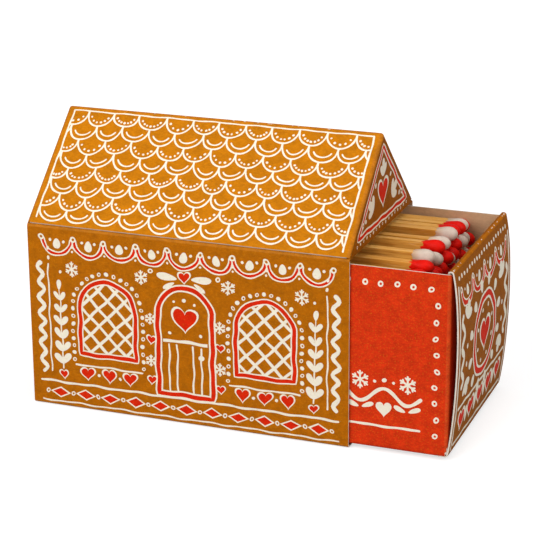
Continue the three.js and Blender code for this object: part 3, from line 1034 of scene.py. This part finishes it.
def makeSleeve():
    skin = Skin()
    wide, high, long = sleeve["width"], sleeve["height"], sleeve["length"]
    path = foldPath([
        (wide / 2, half), (half, half), (half, high - half), (wide - half, high - half),
        (wide - half, half), (wide / 2, half)])
    end = path["reach"][-1]
    drawing = wallDrawing()
    artwork = creases(path, 0, long, "wallCrease")
    artwork += onSheet(drawing, (0, reachWhere(path, 1, 0)), (1, 0), (0, 1))
    artwork += onSheet(drawing, (long, reachWhere(path, 1, high, 1) + high), (-1, 0), (0, -1))
    endGap = sleeve["strikerEndGap"]
    striker = rectangle(
        endGap, end - wide / 2 + sleeve["strikerFoldGap"], long - endGap, end - sleeve["strikerSeamGap"])
    artwork.append((striker, "striker", None))

    # The ceiling's cut edge, below the gable, takes the gable's darker end colour, which is painted shade.
    ceiling = (reachWhere(path, 0, 0, 1), reachWhere(path, 0, wide, 1))

    def rim(spot):
        return "endPrint" if ceiling[0] < spot[1] < ceiling[1] else "rawEdge"

    addSheet(skin, "x", path, rectangle(0, 0, long, end), 1, "wallPrint", artwork, "kraft", atEnds(end), rim)
    flapY, flapZ = wide - half, card["thickness"] * 1.5
    flap = foldPath(
        [(flapY, high * 0.2), (flapY, flapZ), (wide - sleeve["glueFlapWidth"], flapZ)], sleeve["glueFlapRadius"])
    gap = sleeve["glueFlapEndGap"]
    addSheet(skin, "x", flap, rectangle(gap, flap["arcs"][1], long - gap, flap["reach"][-1]), -1, "kraft")
    piece = skin.build("sleeve_card")
    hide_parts("sleeve")
    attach(piece, "sleeve")


def makeRoof():
    skin = Skin()
    wide, high, long, rise = sleeve["width"], sleeve["height"], sleeve["length"], roof["rise"]
    slope = math.atan2(rise, wide / 2)
    lift, inset = half * math.cos(slope), half * math.sin(slope)
    path = foldPath([
        (inset, high + lift), (wide / 2, high + rise - half / math.cos(slope)), (wide - inset, high + lift)])
    end, ridge = path["reach"][-1], path["arcs"][0]
    outer = card["foldRadius"] + half
    drawing = scaleDrawing(ridge)
    artwork = creases(path, 0, long, "wallCrease")
    artwork += rubbed(outer + 1, long - outer - 1, ridge + 0.3, 10, 41, 0.16)
    artwork += onSheet(drawing, (0, 0), (1, 0), (0, 1), 0.1)
    artwork += onSheet(drawing, (long, end), (-1, 0), (0, -1), 0.1)

    # The ends go on round the folds to the gables.
    def folded(a, b):
        return abs(a[1] - b[1]) > 1e-4 or tiny < a[1] < end - tiny

    addSheet(skin, "x", path, rectangle(outer, 0, long - outer, end), 1, "roofPrint", artwork, "kraft", folded)
    normals = path["normals"]
    centres = path["spots"] - normals * card["foldRadius"]
    steps, foot = card["foldSteps"], high + roof["clearance"]
    count = steps + 1
    quads = [(i * count + k, (i + 1) * count + k, (i + 1) * count + k + 1, i * count + k + 1)
             for i in range(len(centres) - 1) for k in range(steps)]
    first, second = centres[:2]
    near = first[0] + (second[0] - first[0]) * ((foot - first[1]) / (second[1] - first[1]))
    line = [(p[0], p[1] - foot) for p in centres if p[1] > foot + 0.01]
    outline = np.array([(near, 0), *line, (wide - near, 0)])
    apart = [i for i in range(1, len(outline)) if np.linalg.norm(outline[i] - outline[i - 1]) > tiny]
    outline = outline[[0] + apart]
    gap = roof["gableFlapSideGap"]
    for x, outwards in ((long, 1), (0, -1)):
        rows, rowNormals = [], []
        for centre, normal in zip(centres, normals):
            for k in range(count):
                angle = math.pi / 2 * k / steps
                direction = np.array([outwards * math.sin(angle), *(normal * math.cos(angle))])
                spot = np.array([x - outwards * outer, *centre]) + direction * outer
                spot[2] = max(spot[2], foot)
                rows.append(spot)
                rowNormals.append(direction)
        # The folds round to the gables take the paler crease ink: partly worn ink, partly painted highlight.
        skin.add(rows, rowNormals, quads, "wallCrease")
        upright = foldPath([(x - outwards * half, foot), (x - outwards * half, high + rise)])
        artwork = onSheet(gableDrawing(), (0 if outwards == 1 else wide, 0), (outwards, 0), (0, 1))
        # The gable is printed in the darker end colour, which is painted shade.
        addSheet(skin, "y", upright, outline, -outwards, "endPrint", artwork, "kraft", lambda a, b: True)
        flap = foldPath([(x - outwards * 0.2, high + half), (x - outwards * roof["gableFlapDepth"], high + half)])
        addSheet(skin, "y", flap, rectangle(gap, 0, wide - gap, flap["reach"][-1]), outwards, "wallPrint")
    piece = skin.build("roof_card")
    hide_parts("roof")
    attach(piece, "sleeve")


tray = {
    "pulledOut": 31.8,
    "sideClearance": 0.4,
    "floorClearance": 0.15,
    "topClearance": 0.3,
    "endFoldRise": 1.1,
    "endTabWidth": 20.0,
    "endTabSlant": 2.5,
    "endPanelInset": 0.3,
    "endFoldWidth": 1.35,
    "endFoldRadius": 0.56,
    "endTuckGap": 0.2,
    "endTuckLength": 44.0,
    "endTuckSideGap": 0.3,
    "frontBulge": 2.8,
    "rearBulge": 0.7,
    "bulgeSteps": 28,
    "tuckCorner": 6,
}

trayNear = card["thickness"] + tray["sideClearance"]
trayFar = sleeve["width"] - trayNear
trayBottom = card["thickness"] * 2 + tray["floorClearance"]
trayFoldTop = sleeve["height"] - card["thickness"] - tray["topClearance"]
trayRim = trayFoldTop - tray["endFoldRise"]
trayRear = tray["pulledOut"]
trayFront = tray["pulledOut"] + sleeve["length"]


def endPath(endX, outwards, bulge):
    floorZ = trayBottom + half
    foldZ = trayFoldTop - half

    def spot(out, z):
        return np.array([endX + outwards * out, z])

    tuckOut = -(card["thickness"] + tray["endTuckGap"] + half)
    control = [
        spot(-half, floorZ),
        spot(bulge * 0.9, floorZ + (foldZ - floorZ) * 0.22),
        spot(bulge * 1.35, floorZ + (foldZ - floorZ) * 0.78),
        spot(tuckOut + tray["endFoldWidth"], foldZ)]
    curve = []
    for k in range(tray["bulgeSteps"] + 1):
        t = k / tray["bulgeSteps"]
        weights = ((1 - t) ** 3, 3 * t * (1 - t) ** 2, 3 * t * t * (1 - t), t ** 3)
        curve.append(sum(w * c for w, c in zip(weights, control)))
    return foldPath(
        [spot(-card["foldRadius"] * 4, floorZ), *curve, spot(tuckOut, foldZ),
         spot(tuckOut, foldZ - tray["endTuckLength"])], tray["endFoldRadius"])


def makeTray():
    skin = Skin()
    tab, slant, corner, radius = tray["endTabWidth"], tray["endTabSlant"], tray["tuckCorner"], card["foldRadius"]
    near, far, floorZ = trayNear, trayFar, trayBottom + half
    foot = floorZ + radius
    path = foldPath([
        (near + half, foot + 0.01), (near + half, floorZ), (far - half, floorZ), (far - half, foot + 0.01)])
    end = path["reach"][-1]
    addSheet(skin, "x", path, rectangle(trayRear + radius, 0, trayFront - radius, end), -1, "redPrint",
             (), "kraft", atEnds(end))
    for wallY, side in ((near, 1), (far, -1)):
        path = foldPath([(x, wallY + side * y) for x, y in (
            (trayFront - half, tab), (trayFront - half, half), (trayRear + half, half), (trayRear + half, tab))])
        last = path["reach"][-1]
        outline = np.array([
            (foot + slant, 0), (foot, tab - 2), (foot, last - tab + 2), (foot + slant, last),
            (trayRim - slant, last), (trayRim - 0.4, last - tab + 2), (trayRim, last - tab + 1),
            (trayRim, tab - 1), (trayRim - 0.4, tab - 2), (trayRim - slant, 0)])
        artwork = creases(path, foot, trayRim, "redCreaseWearAndHighlight")
        start = reachWhere(path, 0, trayFront) + (sleeve["length"] if side == 1 else 0)
        artwork += onSheet(traySideDrawing(), (trayBottom, start), (0, -side), (1, 0), 0.1)

        def atFloor(a, b):
            return max(a[0], b[0]) < foot + tiny and tab < a[1] < last - tab

        addSheet(skin, "z", path, outline, side, "redPrint", artwork, "kraft", atFloor)
    inset, tuckInset = tray["endPanelInset"], card["thickness"] + tray["endTuckSideGap"]
    low, high, tuckLow, tuckHigh = near + inset, far - inset, near + tuckInset, far - tuckInset
    for endX, outwards, bulge in ((trayFront, 1, tray["frontBulge"]), (trayRear, -1, tray["rearBulge"])):
        path = endPath(endX, outwards, bulge)
        last, foldStart, foldEnd = path["reach"][-1], path["arcs"][2], path["arcs"][-1]
        outline = np.array([
            (low, 0), (high, 0), (high, foldEnd - 0.4), (tuckHigh, foldEnd + 0.3), (tuckHigh, last - corner),
            (tuckHigh - corner, last), (tuckLow + corner, last), (tuckLow, last - corner),
            (tuckLow, foldEnd + 0.3), (low, foldEnd - 0.4)])
        artwork = [(rectangle(low - 1, foldEnd - 0.35, high + 1, last + 1), "kraft", None)]
        # The panel's bottom fold and the first bend of its top fold keep the lighter wall print; the flat face's
        # darker end colour is painted shade.
        artwork += creases(path, low - 1, high + 1, "wallPrint", (0, 1))
        artwork += rubbed(low + 1, high - 1, foldStart + 0.5, 16, 31 + outwards)
        origin = (near if outwards == 1 else far, path["arcs"][1] - 1.2)
        artwork += onSheet(panelDrawing(), origin, (outwards, 0), (0, 1))
        # The end panel is printed in the darker end colour, which is painted shade.
        addSheet(skin, "y", path, outline, -outwards, "endPrint", artwork, "kraft",
                 lambda a, b: max(a[1], b[1]) < tiny)
    piece = skin.build("tray_card")
    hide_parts("tray")
    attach(piece, "tray")


makeSleeve()
makeRoof()
makeTray()
print("card folded")


# Matches

matchSizes = {
    "side": 2.6,
    "swell": 0.26,
    "length": 94.0,
    "headLength": 7.5,
    "headRadius": 2.32,
    "skirt": 1.5,
    "bareNeck": 0.7,
    "edgeRadius": 0.14,
    "pileColumns": 14,
    "headPitch": 4.4,
    "redShare": 0.58,
    "headWidest": 0.56,
}

headStations = {
    "fine": [0, 0.03, 0.07, 0.12, 0.19, 0.28, 0.42, 0.55, 0.66, 0.75, 0.83, 0.89, 0.935, 0.965, 0.985, 0.997, 1.0],
    "coarse": [0, 0.06, 0.16, 0.42, 0.62, 0.78, 0.9, 0.97, 1.0],
}


def ringQuads(rings, sides):
    return [(i * sides + k, i * sides + (k + 1) % sides, (i + 1) * sides + (k + 1) % sides, (i + 1) * sides + k)
            for i in range(rings - 1) for k in range(sides)]


# Adds one match that points along +X. neck is the middle of the head's rear face.
def addMatch(skin, tints, coats, neck, turn, roll, kind, chance, detail="fine"):
    sides = 24 if detail == "fine" else 12
    along = np.array([math.cos(turn), math.sin(turn), 0.0])
    across = unit(np.cross([0, 0, 1], along))
    up = np.cross(along, across)
    first = across * math.cos(roll) + up * math.sin(roll)
    second = up * math.cos(roll) - across * math.sin(roll)
    side = (matchSizes["side"] + matchSizes["swell"]) / 2
    long = matchSizes["length"] - matchSizes["headLength"]
    tint = chance.random()
    wide, high = side * chance.uniform(0.95, 1.02), side * chance.uniform(0.95, 1.02)
    soft = matchSizes["edgeRadius"]
    section = []
    for cx, cy, quarter in ((1, 1, 0), (-1, 1, 1), (-1, -1, 2), (1, -1, 3)):
        for k in (0.0, 0.5, 1.0):
            angle = (quarter + k) * math.pi / 2
            section.append((cx * (wide - soft) + soft * math.cos(angle), cy * (high - soft) + soft * math.sin(angle),
                            math.cos(angle), math.sin(angle)))
    count = len(section)
    spots, normals = [], []
    stations = np.linspace(-long, matchSizes["bareNeck"] + 0.6, 7)
    for x in stations:
        sway = [0.05 * chance.uniform(-1, 1) if -long < x < 0 else 0.0 for _ in (0, 1)]
        for a, b, na, nb in section:
            spots.append(neck + along * x + first * (a + sway[0]) + second * (b + sway[1]))
            normals.append(first * na + second * nb)
    quads = ringQuads(len(stations), count)
    # Faces turned up or down take the lighter wood and the others the darker copy: painted light and shade by which
    # way a face is turned.
    flats = ["splintLitAndTorn" if abs(section[face[0] % count][3]) + abs(section[face[1] % count][3]) > 1.4
             else "splintWood" for face in quads]
    skin.add(spots, normals, quads, flats)
    tints.extend([tint] * len(spots))
    cap = spots[:count]
    skin.add(cap, [-along] * count, [tuple(range(count))], "splintWood")
    tints.extend([tint] * count)
    coats.extend([0.0] * (len(spots) + count))

    # The dipped head: square and ragged where it ends on the splint, round towards its tip.
    start = matchSizes["bareNeck"]
    length, radius = matchSizes["headLength"] - start, matchSizes["headRadius"] * chance.uniform(0.96, 1.0)
    ragged = matchSizes["skirt"] if kind == "red" else matchSizes["skirt"] * 0.4
    phase, droop = chance.uniform(0, 6.28), chance.uniform(-0.1, 0.1)
    lobes = chance.choice((4, 5, 6))
    tongues = [(0.5 + 0.5 * math.sin(2 * math.pi * lobes * k / sides + phase)) * chance.uniform(0.3, 1.0)
               for k in range(sides)]
    shares, widest = headStations[detail], matchSizes["headWidest"]
    grid = np.zeros((len(shares), sides, 3))
    for index, share in enumerate(shares):
        x = start + length * share
        swell = math.sin(min(1.0, share / widest) * math.pi / 2)
        reach = side + 0.05 + (radius - side - 0.05) * swell
        if share > widest:
            reach = radius * math.sqrt(max(0.0, 1 - ((share - widest) / (1 - widest)) ** 2.1))
        roundness = min(1.0, share * 3.2)
        for k in range(sides):
            angle = 2 * math.pi * (k + 0.5) / sides
            c, s = math.cos(angle), math.sin(angle)
            square = min(1 / max(abs(c), 1e-6), 1 / max(abs(s), 1e-6), 1.27)
            out = reach * (square * (1 - roundness) + roundness)
            out *= 1 + 0.035 * math.sin(angle * 2 + phase) * math.sin(share * math.pi)
            back = ragged * tongues[k] * max(0.0, 1 - share / 0.16)
            grid[index, k] = (neck + along * (x - back) + first * out * c
                              + second * (out * s + droop * share))
    forward = np.gradient(grid, axis=0)
    around = np.roll(grid, -1, 1) - np.roll(grid, 1, 1)
    computed = np.cross(around, forward)
    lengths = np.linalg.norm(computed, axis=2, keepdims=True)
    computed = np.where(lengths > 1e-9, computed / np.maximum(lengths, 1e-9), along)
    outward = (computed * (grid - grid.mean(1, keepdims=True))).sum(2, keepdims=True)
    computed = np.where(outward < -1e-6, -computed, computed)
    computed[-1] = along
    faces = ringQuads(len(shares), sides)
    skin.add(grid.reshape(-1, 3), computed.reshape(-1, 3), faces, "headRed" if kind == "red" else "headPale")
    tints.extend([tint] * (len(shares) * sides))
    coats.extend(np.repeat(shares, sides))


def headKind(name):
    slots = {entry["node"]: entry["material_slot"] for entry in frame["record"]["subparts"]}
    return "red" if slots[name] == "head_red" else "pale"


def localBox(name):
    low, high = (np.array(corner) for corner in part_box(name))
    shift = np.array([sleeveLow[0], sleeveLow[1], 0.0])
    return (low - shift) / millimetre, (high - shift) / millimetre


def makeMatches():
    rows = {1: [], 2: []}
    for name in sorted(frame["nodes"]):
        if not (name.startswith("match_") and name.endswith("_head")):
            continue
        stem = name[:-5]
        chance = random.Random(stem)
        headLow, headHigh = localBox(name)
        splintLow, splintHigh = localBox(stem + "_splint")
        head = (headLow + headHigh) / 2
        splint = (splintLow + splintHigh) / 2
        neck = np.array([headHigh[0] - matchSizes["headLength"], head[1], head[2]])
        turn = math.atan2(neck[1] - splint[1], neck[0] - splint[0])
        skin, tints, coats = Skin(), [], []
        roll = chance.uniform(-0.12, 0.12)
        addMatch(skin, tints, coats, neck, turn, roll, headKind(name), chance)
        piece = skin.build(stem, {"tint": tints, "coat": coats})
        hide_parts(stem + "_splint", name)
        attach(piece, "tray")
        rows[int(stem.split("_")[1])].append(neck)
    return rows


def makeBundle(rows):
    chance = random.Random(5)
    skin, tints, coats = Skin(), [], []
    _, tips = localBox("match_bundle")
    inner = (trayNear + card["thickness"], trayFar - card["thickness"])
    neckX = tips[0] - matchSizes["headLength"]
    pitch = (inner[1] - inner[0] - 0.2) / matchSizes["pileColumns"]
    nest = math.sqrt(matchSizes["headPitch"] ** 2 - (pitch / 2) ** 2)
    row = sorted(rows[2], key=lambda spot: spot[1])
    heights = [min(a[2], b[2]) - nest - 0.4 for a, b in zip(row, row[1:])]
    places = [(a[1] + b[1]) / 2 for a, b in zip(row, row[1:])]
    below = trayBottom + card["thickness"] + matchSizes["headRadius"] + 0.1
    layer = 0
    while places and max(heights) > below:
        for y, z in zip(places, heights):
            if z > below:
                neck = np.array([neckX - chance.uniform(0, 1.6), y, z])
                kind = "red" if chance.random() < matchSizes["redShare"] else "pale"
                addMatch(skin, tints, coats, neck, chance.uniform(-0.002, 0.002), chance.uniform(-0.1, 0.1), kind,
                         chance, "coarse")
        level = min(heights) if layer == 0 else heights[0]
        layer += 1
        count = matchSizes["pileColumns"] - layer % 2
        start = (inner[0] + inner[1]) / 2 - pitch * (count - 1) / 2
        places = [start + k * pitch for k in range(count)]
        heights = [level - nest - (0.1 if layer > 1 else 0.0)] * count
    piece = skin.build("bundle_of_matches", {"tint": tints, "coat": coats})
    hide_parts("match_bundle")
    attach(piece, "tray")


matchRows = makeMatches()
makeBundle(matchRows)
print("matches laid")


# Floor, light and world

floorLook = {
    "size": 6,
    "drop": 0.0002,
    "colour": (0.5, 0.5, 0.5, 1),
    "roughness": 0.9,
    "specular": 0.1,
    "glowReach": (0.15, 0.7),
    "glow": (0.64, 1.0),
}

worldLook = {"colour": (1, 1, 1, 1), "light": 0.34, "seen": 1.0}


# Shows one shader to the camera and lets the other light the scene.
def showOnly(tree, lighting, seen, output):
    choose = tree.nodes.new("ShaderNodeMixShader")
    isSeen = tree.nodes.new("ShaderNodeLightPath").outputs["Is Camera Ray"]
    for socket, value in zip(choose.inputs, (isSeen, lighting, seen)):
        tree.put(socket, value)
    tree.put(tree.nodes[output].inputs["Surface"], choose.outputs[0])


def makeStage():
    bpy.ops.mesh.primitive_plane_add(size=floorLook["size"], location=(0, 0, -floorLook["drop"]))
    floor = bpy.context.object
    floor.name = "floor"
    material = bpy.data.materials.new("floor")
    material.use_nodes = True
    tree = Tree(material.node_tree)
    shader = tree.nodes["Principled BSDF"]
    for label, key in (("Base Color", "colour"), ("Roughness", "roughness"), ("Specular IOR Level", "specular")):
        shader.inputs[label].default_value = floorLook[key]
    reach = tree.nodes.new("ShaderNodeVectorMath")
    reach.operation = "LENGTH"
    tree.put(reach.inputs[0], tree.nodes.new("ShaderNodeTexCoord").outputs["Object"])
    strength = tree.spread(reach.outputs["Value"], *floorLook["glowReach"], *floorLook["glow"])
    glow = tree.new("ShaderNodeEmission", Strength=strength)
    both = tree.nodes.new("ShaderNodeAddShader")
    tree.put(both.inputs[0], shader.outputs[0])
    tree.put(both.inputs[1], glow.outputs[0])
    showOnly(tree, shader.outputs[0], both.outputs[0], "Material Output")
    floor.data.materials.append(material)

    world = bpy.data.worlds.new("world")
    bpy.context.scene.world = world
    world.use_nodes = True
    tree = Tree(world.node_tree)
    surround = tree.nodes["Background"]
    surround.inputs["Color"].default_value = worldLook["colour"]
    surround.inputs["Strength"].default_value = worldLook["light"]
    seen = tree.new("ShaderNodeBackground", Color=worldLook["colour"], Strength=worldLook["seen"])
    showOnly(tree, surround.outputs[0], seen.outputs[0], "World Output")


lamps = {
    "key": {"spot": (-0.28, -0.66, 0.50), "size": 0.6, "power": 5.4, "colour": (1.0, 0.99, 0.97)},
    "top": {"spot": (0.12, -0.05, 0.95), "size": 0.5, "power": 2.6, "colour": (1.0, 1.0, 1.0)},
    "side": {"spot": (0.74, -0.28, 0.46), "size": 0.4, "power": 2.7, "colour": (1.0, 0.98, 0.96)},
}


def makeLamps():
    for name, lamp in lamps.items():
        data = bpy.data.lights.new(name, "AREA")
        data.size = lamp["size"]
        data.energy = lamp["power"]
        data.color = lamp["colour"]
        light = bpy.data.objects.new(name, data)
        light.location = lamp["spot"]
        aim = Vector((0, 0, 0.045)) - Vector(lamp["spot"])
        light.rotation_euler = aim.to_track_quat("-Z", "Y").to_euler()
        bpy.context.scene.collection.objects.link(light)


makeStage()
makeLamps()
bpy.context.scene.view_settings.view_transform = "Standard"
print("stage set")
